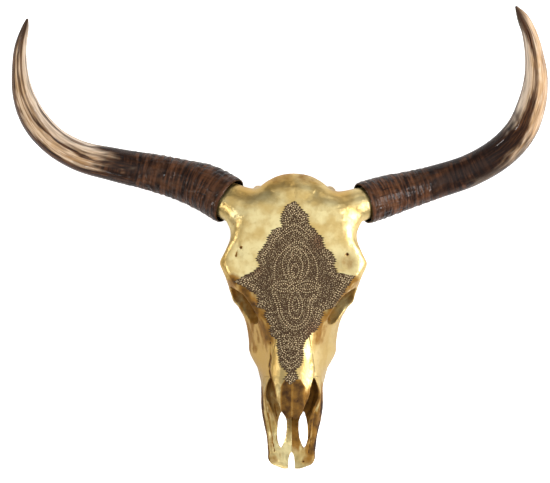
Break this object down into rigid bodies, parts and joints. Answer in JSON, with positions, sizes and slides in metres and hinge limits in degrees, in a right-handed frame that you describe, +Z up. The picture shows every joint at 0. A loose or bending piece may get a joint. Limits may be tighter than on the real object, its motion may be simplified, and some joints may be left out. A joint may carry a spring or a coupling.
{
  "type": "bull skull",
  "caption": "Bull's skull without its lower jaw, lying forehead up, gold lacquered with a dotted lozenge ornament on its forehead, and with long dark curved horn sheaths.",
  "frame": {"origin": "on the floor, under the middle of the whole object's bounding box", "axes": "+X across the skull, along the span of the horns, +Y from the muzzle to the poll, +Z up from the palate to the forehead"},
  "size_m": [0.865, 0.7492, 0.2378],
  "materials": {
    "gold": "gold lacquer over bone, rubbed brown in its hollows",
    "horn": "polished horn, dark and ribbed at its base, pale and streaked towards its tip"
  },
  "bodies": {
    "root": {"cranium": "gold", "nasal_left": "gold", "nasal_right": "gold", "premaxilla_left": "gold", "premaxilla_right": "gold", "horn_left": "horn", "horn_right": "horn"}
  },
  "joints": []
}
